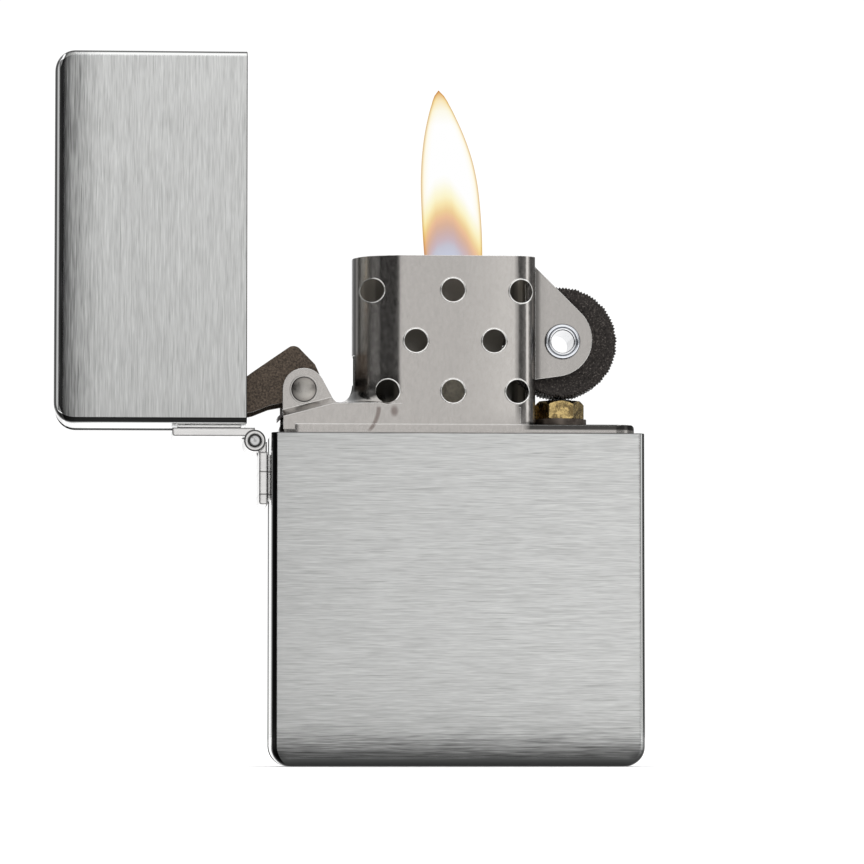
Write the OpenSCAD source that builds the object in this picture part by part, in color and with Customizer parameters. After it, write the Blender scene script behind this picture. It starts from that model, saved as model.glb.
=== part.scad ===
// Petrol pocket lighter with an outside hinge, lid open at a right angle.
// Origin: centre of the case's bottom face. X right, Y to the back, Z up. Millimetres.

/* [Case] */
// Width of the case over its flat sides
case_w = 38.1; // [34:0.1:42]
// Depth of the case from front face to back face
case_d = 12.7; // [11:0.1:15]
// Height of the case's open rim above the floor
rim_z = 33.95; // [30:0.05:38]
// Height of the lid from its rim to its closed end
lid_h = 19.6; // [17:0.1:22]
// Thickness of the drawn metal of case and lid
wall = 0.6; // [0.5:0.05:1]
// Radius of the four long edges, seen from above
edge_r = 0.7; // [0.3:0.1:2]
// Radius of the closed-end corners, seen from the front
corner_r = 2.1; // [1:0.1:4]
// Radius of the closed-end edges, seen from the side
end_r = 1.3; // [0.3:0.1:2]
// Gap between the two rims when the lid is shut
lid_gap = 0.05; // [0.02:0.01:0.3]

/* [Hinge] */
// Hinge pin axis, across
pin_x = -20.7; // [-22:0.05:-20]
// Hinge pin axis, height
pin_z = 33.15; // [32:0.05:34]
// Radius of the hinge pin
pin_r = 0.6; // [0.4:0.05:0.8]
// Outer radius of the knuckles
knuckle_r = 1.1; // [0.9:0.02:1.3]
// Width of the hinge along its pin
hinge_w = 9.8; // [8:0.1:11]
// Thickness of each leaf
leaf_t = 0.85; // [0.4:0.05:1]
// Gap between each leaf and the case or lid, filled by the brazed pad
leaf_gap = 0.35; // [0.1:0.05:0.6]
// Reach of the lower leaf below the pin
leaf_low = 6.5; // [5:0.1:9]
// Reach of the upper leaf from the pin
leaf_up = 8.4; // [5:0.1:10]

/* [Insert] */
// Width of the fuel can
tank_w = 36.4; // [33:0.1:36.6]
// Depth of the fuel can
tank_d = 11.1; // [10:0.1:11.4]
// Height of the bottom edge of the can
tank_z0 = 2.2; // [1:0.1:4]
// Height of the top of the can
tank_z1 = 34.88; // [33:0.02:36]
// Thickness of the stainless sheet
sheet = 0.45; // [0.3:0.05:0.6]
// Left end of the chimney
chim_x0 = -10.6; // [-12:0.1:-9]
// Right end of the chimney
chim_x1 = 8.05; // [6:0.05:10]
// Half depth of the chimney over its faces
chim_y = 5.5; // [4.6:0.05:5.6]
// Height of the chimney's top edge
chim_z = 52.15; // [50:0.05:53]
// Diameter of the air holes
hole_d = 2.4; // [2:0.1:3]

/* [Wheel and flint] */
// Wheel axis, across
wheel_x = 10.85; // [9:0.05:13]
// Wheel axis, height
wheel_z = 43.5; // [42:0.05:45]
// Radius over the wheel's teeth
wheel_r = 5.75; // [5:0.05:6]
// Half depth over the wheel ears
ear_y = 3.6; // [3:0.05:4]
// Bore radius of the hollow wheel rivet
rivet_bore = 1.15; // [0.8:0.05:1.4]
// Radius of the flint
flint_r = 1.2; // [1:0.05:1.4]

/* [Cam] */
// Cam rivet axis, across
cam_x = -15.7; // [-17:0.05:-14]
// Cam rivet axis, height
cam_z = 38.42; // [37:0.02:40]
// Half depth over the cam ears
cam_ear_y = 4.7; // [4:0.05:5]

/* [Hidden] */
$fn = 48;
lid_z0 = rim_z + lid_gap;
lid_z1 = lid_z0 + lid_h;
tube_r = flint_r + 0.06;
tube_ro = tube_r + 0.4;
rivet_ro = rivet_bore + 0.3;
wick_r = 1.3;
wire_r = 0.16;
chim_rl = 5;
chim_rr = 1.9;
flint_z1 = wheel_z - wheel_r - 0.03;
flint_z0 = flint_z1 - 6;
screw_z = 2.0;
FRONT_HOLES = [
  [-8.74, 48.6], [-0.5, 48.6], [6.5, 48.5],
  [-4.3, 43.4], [3.7, 43.4],
  [-7.2, 38.24], [-0.5, 38.24], [6.1, 38.24]
];
BACK_HOLES = [
  [-4.3, 48.6], [3.7, 48.6],
  [-8.2, 43.4], [-0.5, 43.4], [6.5, 43.4],
  [-3.9, 38.24], [3.3, 38.24]
];

// Choose one piece, or all

// Rectangle about the origin with four rounded corners
module round_rect(w, d, r) {
  square([w - 2 * r, d], center = true);
  square([w, d - 2 * r], center = true);
  for (sx = [-1, 1])
    for (sy = [-1, 1])
      translate([sx * (w / 2 - r), sy * (d / 2 - r)])
        circle(r);
}

// Rectangle from y = 0 to h whose two lower corners are rounded
module cup_profile(w, h, r) {
  translate([-w / 2, r])
    square([w, h - r]);
  translate([-w / 2 + r, 0])
    square([w - 2 * r, h]);
  for (sx = [-1, 1])
    translate([sx * (w / 2 - r), r])
      circle(r);
}

// Extrudes a front-view drawing (x, z) through the depth y0 to y1
module front_slab(y0, y1) {
  translate([0, y1, 0])
    rotate([90, 0, 0])
      linear_extrude(y1 - y0)
        children();
}

// Extrudes a side-view drawing (y, z) from x0 to x1
module side_slab(x0, x1) {
  translate([x0, 0, 0])
    rotate([90, 0, 90])
      linear_extrude(x1 - x0)
        children();
}

// Closed block of a drawn cup standing on its closed end
module cup_block(w, d, h, re, rc, rs) {
  intersection() {
    linear_extrude(h)
      round_rect(w, d, re);
    front_slab(-d, d)
      cup_profile(w, h, rc);
    side_slab(-w, w)
      cup_profile(d, h, rs);
  }
}

// Drawn cup with a wall of even thickness
module cup(h) {
  difference() {
    cup_block(case_w, case_d, h, edge_r, corner_r, end_r);
    translate([0, 0, wall])
      cup_block(case_w - 2 * wall, case_d - 2 * wall, h, edge_r - 0.4, corner_r - wall, end_r - wall);
  }
}

// Cylinder along Y
module pin_y(r, y0, y1) {
  translate([0, y1, 0])
    rotate([90, 0, 0])
      cylinder(r = r, h = y1 - y0);
}

// Turns a piece from the shut lid's place to the open lid's place
module open_lid() {
  translate([pin_x, 0, pin_z])
    rotate([0, -90, 0])
      translate([-pin_x, 0, -pin_z])
        children();
}

module case_bottom() {
  color([0.78, 0.79, 0.78])
    cup(rim_z);
}

module case_lid() {
  color([0.78, 0.79, 0.78])
    open_lid()
      translate([0, 0, lid_z1])
        rotate([180, 0, 0])
          cup(lid_h);
}

// Front view of a leaf's strip hanging below its pin, up to the given height
module leaf_strip(reach, top) {
  x_out = -case_w / 2 - pin_x - leaf_gap - leaf_t;
  translate([x_out, -reach + 0.25])
    square([leaf_t, reach - 0.25 + top]);
  translate([x_out + 0.25, -reach])
    square([leaf_t - 0.25, 1]);
  translate([x_out + 0.25, -reach + 0.25])
    circle(0.25);
}

// One leaf about its pin: a strip curled into knuckles over the given spans along Y,
// standing on a narrower pad that is brazed to the case
module leaf(reach, spans, bore) {
  x_in = -case_w / 2 - pin_x - leaf_gap;
  difference() {
    union() {
      front_slab(-hinge_w / 2, hinge_w / 2)
        leaf_strip(reach, -knuckle_r - 0.06);
      for (s = spans)
        front_slab(s[0], s[1]) {
          circle(knuckle_r);
          leaf_strip(reach, 0);
        }
      front_slab(-hinge_w / 2 + 0.5, hinge_w / 2 - 0.5)
        translate([x_in - 0.1, -reach + 0.5])
          square([leaf_gap + 0.1, reach - knuckle_r - 0.8]);
    }
    pin_y(bore, -hinge_w, hinge_w);
  }
}

module hinge_leaf_lower() {
  q = hinge_w / 4;
  color([0.74, 0.74, 0.73])
    translate([pin_x, 0, pin_z])
      leaf(leaf_low, [[-q + 0.04, -0.04], [q + 0.04, 2 * q]], pin_r);
}

module hinge_leaf_upper() {
  q = hinge_w / 4;
  color([0.74, 0.74, 0.73])
    translate([pin_x, 0, pin_z])
      rotate([0, -90, 0])
        mirror([0, 0, 1])
          leaf(leaf_up, [[-2 * q, -q - 0.04], [0.04, q - 0.04]], pin_r + 0.04);
}

module hinge_pin() {
  color([0.6, 0.6, 0.6])
    translate([pin_x, 0, pin_z])
      pin_y(pin_r, -hinge_w / 2 - 0.1, hinge_w / 2 + 0.1);
}

// Plan of the chimney: big left corners, small right corners
module chimney_plan(g) {
  for (sy = [-1, 1]) {
    translate([chim_x0 + chim_rl, sy * (chim_y - chim_rl)])
      circle(chim_rl - g);
    translate([chim_x1 - chim_rr, sy * (chim_y - chim_rr)])
      circle(chim_rr - g);
  }
  translate([chim_x0 + chim_rl, -chim_y + g])
    square([chim_x1 - chim_rr - chim_x0 - chim_rl, 2 * (chim_y - g)]);
  translate([chim_x0 + g, -chim_y + chim_rl])
    square([chim_x1 - chim_x0 - 2 * g, 2 * (chim_y - chim_rl)]);
  translate([chim_x0 + chim_rl, -chim_y + chim_rr])
    square([chim_x1 - chim_x0 - chim_rl - g, 2 * (chim_y - chim_rr)]);
}

module chimney_walls() {
  z0 = tank_z1 - 0.02;
  difference() {
    translate([0, 0, z0])
      linear_extrude(chim_z - z0)
        difference() {
          chimney_plan(0);
          chimney_plan(sheet);
        }
    // room for the cam: end wall gone low on the left
    translate([chim_x0 - 1, -1.9, z0 - 1])
      cube([4, 3.8, 42.1 - z0 + 1]);
    translate([chim_x0 - 1, -chim_y - 1, z0 - 1])
      cube([3.1, 2 * chim_y + 2, 36.9 - z0 + 1]);
    // room for the wheel: end wall open between two strips on the right
    translate([chim_x1 - 2, -ear_y + sheet, 37.4])
      cube([4, 2 * (ear_y - sheet), 12.5]);
  }
}

// Points on an arc about (cx, cy) from angle a0 to a1
function arc(cx, cy, r, a0, a1, n) =
  [for (i = [0 : n]) let (a = a0 + (a1 - a0) * i / n) [cx + r * cos(a), cy + r * sin(a)]];

// Outline of the flat front sheet low down, from the cam ear to the right corner
module skirt_outline() {
  polygon([
    [-17.83, 34.3],
    [6.4, 34.3],
    [6.4, 36.6],
    [-7.4, 37.05],
    [-12.7, 36.98],
    [-17.83, 35.6]
  ]);
}

// Ear for the cam, as drawn from the front
module cam_ear_outline() {
  translate([cam_x, cam_z])
    circle(2.17);
  polygon([
    [-17.87, 36.0],
    [-17.87, cam_z],
    [cam_x, cam_z],
    [cam_x + 1.88, cam_z + 1.085],
    [-12.75, 37.5],
    [-12.42, 37.15],
    [-12.0, 37.0]
  ]);
}

// Slanted step that takes the sheet inward to the cam ear
module joggle() {
  d = chim_y - cam_ear_y;
  translate([-17.83, 0, 35.62])
    rotate([0, -14.5, 0])
      side_slab(0, 5.3)
        polygon([
          [-chim_y, -0.25],
          [-chim_y, 0],
          [-chim_y + d, 0.7],
          [-chim_y + d, 1.0],
          [-chim_y + d + sheet, 1.0],
          [-chim_y + d + sheet, 0.5],
          [-chim_y + sheet, -0.2],
          [-chim_y + sheet, -0.25]
        ]);
}

// Ear for the wheel: straight slope down to a round end about the rivet
module wheel_ear_outline() {
  polygon(concat(
    [[chim_x1 - sheet, 51.2], [chim_x1 + 0.02, 51.2]],
    arc(wheel_x - 0.76, wheel_z + 0.25, 3.83, 45, -83, 20),
    [[chim_x1 - sheet, 39.54]]
  ));
}

module front_sheet() {
  front_slab(-chim_y, -chim_y + sheet)
    skirt_outline();
  intersection() {
    joggle();
    front_slab(-6, 0)
      polygon([[-17.83, 34], [-12.42, 34], [-12.42, 40], [-17.83, 40]]);
  }
  front_slab(-cam_ear_y, -cam_ear_y + sheet)
    cam_ear_outline();
  front_slab(-ear_y, -ear_y + sheet)
    wheel_ear_outline();
}

module tank_walls() {
  difference() {
    intersection() {
      translate([0, 0, tank_z0])
        linear_extrude(tank_z1 - tank_z0)
          round_rect(tank_w, tank_d, 2);
      front_slab(-20, 20)
        translate([0, tank_z1])
          mirror([0, 1])
            cup_profile(tank_w, tank_z1, 0.5);
      side_slab(-30, 30)
        translate([0, tank_z1])
          mirror([0, 1])
            cup_profile(tank_d, tank_z1, 0.12);
    }
    linear_extrude(60)
      round_rect(tank_w - 2 * sheet, tank_d - 2 * sheet, 2 - sheet);
  }
}

// Air hole in the front face, with its edge broken
module air_hole(x, z) {
  translate([x, 0, z]) {
    pin_y(hole_d / 2, -8, -1);
    translate([0, -chim_y + 0.12, 0])
      rotate([90, 0, 0])
        cylinder(r1 = hole_d / 2, r2 = hole_d / 2 + 0.18, h = 0.14);
  }
}

module insert_shell() {
  color([0.7, 0.69, 0.66])
    difference() {
      union() {
        tank_walls();
        chimney_walls();
        front_sheet();
        mirror([0, 1, 0])
          front_sheet();
      }
      // the back holes sit between the front ones
      for (p = FRONT_HOLES)
        air_hole(p[0], p[1]);
      for (p = BACK_HOLES)
        mirror([0, 1, 0])
          air_hole(p[0], p[1]);
      translate([cam_x, 0, cam_z])
        pin_y(0.75, -8, 8);
      translate([wheel_x, 0, wheel_z])
        pin_y(rivet_ro, -8, 8);
    }
}

module tank_plate() {
  w = tank_w - 2 * sheet - 0.02;
  color([0.5, 0.48, 0.45])
    difference() {
      translate([0, 0, tank_z1 - 0.55])
        linear_extrude(0.53)
          intersection() {
            round_rect(w, tank_d - 2 * sheet - 0.02, 1.65);
            union() {
              square([40, 2 * (chim_y - sheet) - 0.02], center = true);
              translate([6.45, -6])
                square([14, 12]);
            }
          }
      translate([wheel_x, 0, 30])
        cylinder(r = tube_ro, h = 8);
      translate([0, 0, 30])
        cylinder(r = wick_r, h = 8);
      translate([-7.2, 0, 30])
        cylinder(r = 0.5, h = 8);
    }
}

// Side drawing of the cam at rest, about its rivet
module cam_outline() {
  polygon(concat(
    [[-2.2, -1.36], [-3.45, -1.6], [-5.1, -2.26]],
    arc(-6.65, -1.62, 1.1, -110, -215, 10),
    [[-7.05, 0.15], [-6.4, 0.9], [-5.2, 1.8]],
    arc(-1.05, 3.57, 0.9, 125, 35, 9),
    [[1.14, 2.6], [1.6, 1.6]],
    arc(0, 0, 1.75, 30, -130, 16)
  ));
}

// Hollow of the folded cam, open to the right and below
module cam_hollow() {
  polygon([
    [3, -4],
    [3, 1.5],
    [1.0, 1.6],
    [-0.6, 3.7],
    [-1.0, 3.85],
    [-1.4, 3.75],
    [-4.95, 1.2],
    [-6.1, 0.4],
    [-6.75, -0.3],
    [-7.12, -1.5],
    [-6.8, -2.0],
    [-6.2, -2.1],
    [-5.9, -2.3],
    [-5.9, -4]
  ]);
}

module cam() {
  y = cam_ear_y - sheet - 0.08;
  color([0.3, 0.26, 0.24])
    translate([cam_x, 0, cam_z])
      difference() {
        front_slab(-y, y)
          cam_outline();
        front_slab(-y + 0.6, y - 0.6)
          cam_hollow();
        pin_y(0.8, -8, 8);
      }
}

module cam_rivet() {
  color([0.72, 0.7, 0.68])
    translate([cam_x, 0, cam_z])
      rotate([90, 0, 0])
        rotate_extrude()
          polygon([
            [0, -4.85],
            [0.9, -4.85],
            [1.15, -4.95],
            [1.45, -4.85],
            [1.5, -4.5],
            [0.75, -4.5],
            [0.75, 4.5],
            [1.5, 4.5],
            [1.45, 4.85],
            [1.15, 4.95],
            [0.9, 4.8],
            [0, 4.72]
          ]);
}

module cam_spring() {
  t = 0.3;
  color([0.35, 0.33, 0.32])
    difference() {
      front_slab(-2, 2)
        polygon([
          [-6, 34.87],
          [-11, 34.87],
          [-15.8, 36.05],
          [-17.6, 36.0],
          [-18.3, 35.35],
          [-18.3, 35.75],
          [-17.7, 36.3],
          [-15.75, 36.38],
          [-10.95, 34.87 + t],
          [-6, 34.87 + t]
        ]);
      translate([-7.2, 0, 30])
        cylinder(r = 0.5, h = 8);
    }
}

module cam_spring_rivet() {
  color([0.6, 0.58, 0.55])
    translate([-7.2, 0, 0]) {
      translate([0, 0, 34.0])
        cylinder(r = 0.5, h = 1.25);
      translate([0, 0, 35.17])
        cylinder(r1 = 0.95, r2 = 0.7, h = 0.35);
      translate([0, 0, 34.0])
        cylinder(r = 0.85, h = 0.33);
    }
}

// Toothed ring drawn from the side: n teeth between radii r0 and r1
module toothed(n, r0, r1) {
  polygon([
    for (i = [0 : 2 * n - 1])
      let (r = i % 2 == 0 ? r1 : r0, a = i * 180 / n)
        [r * cos(a), r * sin(a)]
  ]);
}

module flint_wheel() {
  color([0.14, 0.14, 0.14])
    translate([wheel_x, 0, wheel_z])
      difference() {
        union() {
          front_slab(-1.35, 1.35)
            toothed(90, wheel_r - 0.2, wheel_r);
          for (y = [-2.7, 1.35])
            front_slab(y, y + 1.35)
              toothed(60, wheel_r - 0.28, wheel_r);
          pin_y(2.3, -3.05, 3.05);
        }
        pin_y(rivet_ro + 0.05, -8, 8);
        // flat recess in each side
        for (y = [-3.5, 2.45])
          difference() {
            pin_y(4.6, y, y + 1.05);
            pin_y(2.3, y - 1, y + 2);
          }
      }
}

module wheel_rivet() {
  h = ear_y + 0.5;
  color([0.75, 0.74, 0.72])
    translate([wheel_x, 0, wheel_z])
      rotate([90, 0, 0])
        rotate_extrude()
          polygon([
            [rivet_bore, -h + 0.15],
            [rivet_bore + 0.25, -h],
            [1.6, -h + 0.05],
            [1.85, -h + 0.3],
            [1.85, -ear_y],
            [rivet_ro, -ear_y],
            [rivet_ro, ear_y],
            [1.85, ear_y],
            [1.85, h - 0.3],
            [1.6, h - 0.05],
            [rivet_bore + 0.25, h],
            [rivet_bore, h - 0.15]
          ]);
}

module flint_collar() {
  color([0.62, 0.5, 0.26])
    translate([wheel_x, 0, 0])
      difference() {
        intersection() {
          translate([0, 0, 35.7])
            cylinder(r = 2.52, h = 1.88, $fn = 6);
          rotate_extrude()
            polygon([
              [0, 35.7],
              [2.4, 35.7],
              [2.6, 35.85],
              [2.6, 37.1],
              [2.15, 37.58],
              [0, 37.58]
            ]);
        }
        cylinder(r = tube_ro, h = 37);
        cylinder(r = tube_r, h = 60);
      }
}

module collar_washer() {
  color([0.42, 0.4, 0.38])
    translate([wheel_x, 0, tank_z1 - 0.02])
      difference() {
        cylinder(r = 2.77, h = 0.82);
        translate([0, 0, -1])
          cylinder(r = tube_ro, h = 4);
      }
}

module flint_tube() {
  color([0.7, 0.62, 0.42])
    translate([wheel_x, 0, 0])
      difference() {
        translate([0, 0, tank_z0 + 0.9])
          cylinder(r = tube_ro, h = 37 - tank_z0 - 0.9);
        cylinder(r = tube_r, h = 60);
      }
}

module flint() {
  color([0.4, 0.4, 0.42])
    translate([wheel_x, 0, flint_z0])
      cylinder(r = flint_r, h = 6);
}

module spring_plunger() {
  color([0.7, 0.6, 0.35])
    translate([wheel_x, 0, flint_z0 - 1.6]) {
      cylinder(r = 1.15, h = 1.6);
      translate([0, 0, -2])
        cylinder(r = 0.5, h = 2);
    }
}

// Section of a coiled round wire, cut level: an arc about the coil's axis
module wire_section(rc, rw, pitch) {
  k = 2 * PI * rc / pitch;
  n = 10;
  polygon([
    for (i = [0 : n - 1])
      let (a = i * 360 / n, r = rc + rw * cos(a), t = rw * sin(a) * k / rc * 57.3)
        [r * cos(t), r * sin(t)]
  ]);
}

module flint_spring() {
  z0 = screw_z + 7.4;
  z1 = flint_z0 - 1.62;
  turns = 10;
  color([0.6, 0.6, 0.6])
    translate([wheel_x, 0, z0])
      linear_extrude(z1 - z0, twist = -360 * turns, slices = turns * 18, $fn = 10)
        wire_section(0.88, 0.17, (z1 - z0) / turns);
}

module flint_screw() {
  color([0.68, 0.56, 0.3])
    translate([wheel_x, 0, screw_z])
      difference() {
        union() {
          cylinder(r = 2.3, h = 1.1);
          cylinder(r = tube_r, h = 7.38);
          cylinder(r = 0.5, h = 8.6);
        }
        translate([-3, -0.35, -0.1])
          cube([6, 0.7, 0.7]);
      }
}

// Path of the wick: up from the plate, and down through the wadding in bends
module wick_path(r, top) {
  translate([0, 0, 27])
    cylinder(r = r, h = top - 27);
  translate([-3.4, 0, 27])
    rotate([90, 0, 0])
      rotate([0, 0, -90])
        rotate_extrude(angle = 90)
          translate([3.4, 0])
            circle(r);
  translate([-8, 0, 23.6])
    rotate([0, 90, 0])
      cylinder(r = r, h = 4.6);
  translate([-8, 0, 20.2])
    rotate([90, 0, 0])
      rotate([0, 0, 90])
        rotate_extrude(angle = 180)
          translate([3.4, 0])
            circle(r);
  translate([-8, 0, 16.8])
    rotate([0, 90, 0])
      cylinder(r = r, h = 9);
  translate([1, 0, 13.4])
    rotate([90, 0, 0])
      rotate([0, 0, -90])
        rotate_extrude(angle = 180)
          translate([3.4, 0])
            circle(r);
  translate([-10, 0, 10])
    rotate([0, 90, 0])
      cylinder(r = r, h = 11);
}

module wick() {
  color([0.85, 0.82, 0.74])
    difference() {
      wick_path(wick_r, 44.8);
      wick_path(wire_r, 50);
    }
}

module wick_wire() {
  color([0.72, 0.42, 0.26])
    wick_path(wire_r, 45.1);
}

module cotton_wadding() {
  w = tank_w - 2 * sheet - 0.4;
  color([0.93, 0.92, 0.88])
    difference() {
      translate([0, 0, 5.1])
        linear_extrude(28.8)
          round_rect(w, tank_d - 2 * sheet - 0.4, 1.4);
      wick_path(wick_r + 0.02, 50);
      translate([wheel_x, 0, 0])
        cylinder(r = tube_ro + 0.05, h = 60);
      // joints between the four pads
      for (z = [11, 18, 25.5])
        translate([-30, -10, z])
          cube([60, 20, 0.15]);
    }
}

module felt_pad() {
  w = tank_w - 2 * sheet - 0.1;
  color([0.8, 0.79, 0.75])
    difference() {
      translate([0, 0, tank_z0 + 0.1])
        linear_extrude(2.7)
          round_rect(w, tank_d - 2 * sheet - 0.1, 1.45);
      translate([wheel_x, 0, 0])
        cylinder(r = 2.5, h = 20);
      translate([-wheel_x, 0, 0])
        cylinder(r = 1, h = 20);
    }
}

case_bottom();
case_lid();
hinge_leaf_lower();
hinge_leaf_upper();
hinge_pin();
insert_shell();
tank_plate();
cam();
cam_rivet();
cam_spring();
cam_spring_rivet();
flint_wheel();
wheel_rivet();
flint_collar();
collar_washer();
flint();
flint_tube();
spring_plunger();
flint_spring();
flint_screw();
wick();
wick_wire();
cotton_wadding();
felt_pad();
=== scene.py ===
import math

import bmesh
import bpy
import numpy as np
from mathutils import Matrix, Vector


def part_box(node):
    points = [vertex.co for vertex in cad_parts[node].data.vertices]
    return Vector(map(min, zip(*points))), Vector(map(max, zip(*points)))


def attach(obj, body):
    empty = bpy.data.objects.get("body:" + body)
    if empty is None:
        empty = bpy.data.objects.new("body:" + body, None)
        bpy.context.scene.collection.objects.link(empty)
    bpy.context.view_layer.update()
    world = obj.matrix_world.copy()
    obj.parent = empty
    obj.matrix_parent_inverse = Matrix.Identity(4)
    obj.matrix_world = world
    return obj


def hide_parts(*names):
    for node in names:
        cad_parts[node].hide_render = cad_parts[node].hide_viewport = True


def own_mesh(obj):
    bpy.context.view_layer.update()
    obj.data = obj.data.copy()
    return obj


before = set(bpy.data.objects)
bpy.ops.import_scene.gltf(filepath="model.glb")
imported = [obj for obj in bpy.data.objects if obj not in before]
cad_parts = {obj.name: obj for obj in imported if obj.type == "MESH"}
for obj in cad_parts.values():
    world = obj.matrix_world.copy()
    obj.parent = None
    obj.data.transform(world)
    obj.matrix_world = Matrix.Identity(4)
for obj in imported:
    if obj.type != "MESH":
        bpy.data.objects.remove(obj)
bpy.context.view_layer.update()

# -------- sizes
MM = 0.001
lid_lo, lid_hi = (Vector(p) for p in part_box("case_lid"))
case_lo, case_hi = (Vector(p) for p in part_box("case_bottom"))
# axis of the lid's hinge, as x and z
PIN = [(a + b) / 2 for a, b in zip(*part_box("hinge_pin"))][::2]
# cups of case and lid, in mm: wall, corner radius seen from the front, edge radius of the faces,
# and how far from the closed end the faces begin to come in
WALL = 0.6
CUP_CORNER = 2.1
CUP_EDGE = 1.3
CUP_TAPER = 3.4
# chimney, in mm as in part.scad: its left and right side, half its depth and its two corner radii
CHIMNEY = (-10.6, 8.05)
CHIMNEY_HALF = 5.5
LEFT_RADIUS = 5.0
RIGHT_RADIUS = 1.9
SHEET = 0.45
# how far the flare at its foot runs out to the left, in mm
FLARE_OUT = 1.9
# air holes, in mm: radius and middles
HOLE_RADIUS = 1.2
FRONT_HOLES = [(-8.74, 48.6), (-0.5, 48.6), (6.5, 48.5), (-4.3, 43.4), (3.7, 43.4),
               (-7.2, 38.24), (-0.5, 38.24), (6.1, 38.24)]
BACK_HOLES = [(-4.3, 48.6), (3.7, 48.6), (-8.2, 43.4), (-0.5, 43.4), (6.5, 43.4),
              (-3.9, 38.24), (3.3, 38.24)]
FLARED_HOLE = FRONT_HOLES[5]


# -------- mesh helpers
def link_object(name, mesh):
    obj = bpy.data.objects.new(name, mesh)
    bpy.context.scene.collection.objects.link(obj)
    return obj


def mesh_object(name, verts, faces, smooth=True):
    mesh = bpy.data.meshes.new(name)
    mesh.from_pydata([tuple(v) for v in verts], [], faces)
    bm = bmesh.new()
    bm.from_mesh(mesh)
    bmesh.ops.remove_doubles(bm, verts=bm.verts, dist=1e-7)
    bmesh.ops.recalc_face_normals(bm, faces=bm.faces)
    bm.to_mesh(mesh)
    bm.free()
    for p in mesh.polygons:
        p.use_smooth = smooth
    return link_object(name, mesh)


def weighted(obj, angle):
    """Smooth shading that stays flat on flat faces and sharp at edges over the angle."""
    obj.data.set_sharp_from_angle(angle=math.radians(angle))
    mod = obj.modifiers.new("weighted", "WEIGHTED_NORMAL")
    mod.keep_sharp = True
    mod.weight = 80


def dress(obj, mat):
    obj.data.materials.clear()
    obj.data.materials.append(mat)


def loft(rings, close=False, cap_start=False, cap_end=False):
    """Verts and faces through rings of equal length."""
    n = len(rings[0])
    verts = [p for ring in rings for p in ring]
    faces = []
    count = len(rings)
    for i in range(count if close else count - 1):
        a, b = i * n, (i + 1) % count * n
        for k in range(n):
            m = (k + 1) % n
            faces.append((a + k, a + m, b + m, b + k))
    if cap_start:
        faces.append(tuple(range(n))[::-1])
    if cap_end:
        faces.append(tuple(range((count - 1) * n, count * n)))
    return verts, faces


def rounded_ring(hx, hy, r, z, steps=6):
    """Rounded rectangle about the origin at height z."""
    ring = []
    r = min(r, hx, hy)
    for sx, sy, a0 in ((1, 1, 0), (-1, 1, 90), (-1, -1, 180), (1, -1, 270)):
        for k in range(steps + 1):
            a = math.radians(a0 + 90 * k / steps)
            ring.append((sx * (hx - r) + r * math.cos(a), sy * (hy - r) + r * math.sin(a), z))
    return ring


def around(n):
    """Angles of n points round a circle."""
    return [2 * math.pi * i / n for i in range(n)]


# -------- shader helpers
def new_material(name):
    mat = bpy.data.materials.new(name)
    mat.use_nodes = True
    tree = mat.node_tree
    return mat, tree, tree.nodes["Principled BSDF"]


def bare_material(name):
    """Material with nothing in it but its output."""
    mat = bpy.data.materials.new(name)
    mat.use_nodes = True
    tree = mat.node_tree
    tree.nodes.clear()
    return mat, tree, node(tree, "ShaderNodeOutputMaterial")


def node(tree, kind, **values):
    n = tree.nodes.new(kind)
    for key, value in values.items():
        setattr(n, key, value)
    return n


def feed(tree, socket, value):
    """Link or plain value into a socket."""
    if isinstance(value, bpy.types.NodeSocket):
        tree.links.new(value, socket)
    else:
        socket.default_value = value


def calc(tree, kind, *values):
    """One number from sockets or plain numbers."""
    n = node(tree, "ShaderNodeMath", operation=kind)
    for socket, value in zip(n.inputs, values):
        feed(tree, socket, value)
    return n.outputs[0]


def plus(tree, a, b):
    return calc(tree, "ADD", a, b)


def minus(tree, a, b):
    return calc(tree, "SUBTRACT", a, b)


def times(tree, a, b):
    return calc(tree, "MULTIPLY", a, b)


def larger(tree, a, b):
    return calc(tree, "MAXIMUM", a, b)


def magnitude(tree, value):
    return calc(tree, "ABSOLUTE", value)


def diagonal(tree, a, b):
    """Length of the diagonal over a and b."""
    return calc(tree, "POWER", plus(tree, times(tree, a, a), times(tree, b, b)), 0.5)


def distance(tree, x, z, cx, cz):
    """Distance of a point from an axis that runs front to back."""
    return diagonal(tree, plus(tree, x, -cx), plus(tree, z, -cz))


def remap(tree, value, lo, hi, to_lo=0.0, to_hi=1.0):
    """Value between lo and hi, held at the ends, as a value between to_lo and to_hi."""
    n = node(tree, "ShaderNodeMapRange")
    for key, number in (("From Min", lo), ("From Max", hi), ("To Min", to_lo), ("To Max", to_hi)):
        n.inputs[key].default_value = number
    tree.links.new(value, n.inputs["Value"])
    return n.outputs["Result"]


def ramp(tree, value, stops):
    """Piecewise curve of grey values or colours over 0 to 1."""
    n = node(tree, "ShaderNodeValToRGB")
    while len(n.color_ramp.elements) < len(stops):
        n.color_ramp.elements.new(0.5)
    for e, (place, v) in zip(n.color_ramp.elements, stops):
        e.position = place
        e.color = (*v, 1) if isinstance(v, tuple) else (v, v, v, 1)
    tree.links.new(value, n.inputs["Fac"])
    return n.outputs["Color"]


def mix_colour(tree, factor, a, b):
    n = node(tree, "ShaderNodeMix", data_type="RGBA")
    for socket, value in ((n.inputs[6], a), (n.inputs[7], b)):
        feed(tree, socket, (*value, 1.0) if isinstance(value, tuple) else value)
    tree.links.new(factor, n.inputs[0])
    return n.outputs[2]


def mix_value(tree, factor, a, b):
    n = node(tree, "ShaderNodeMix", data_type="FLOAT")
    feed(tree, n.inputs[2], a)
    feed(tree, n.inputs[3], b)
    tree.links.new(factor, n.inputs[0])
    return n.outputs[0]


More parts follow.
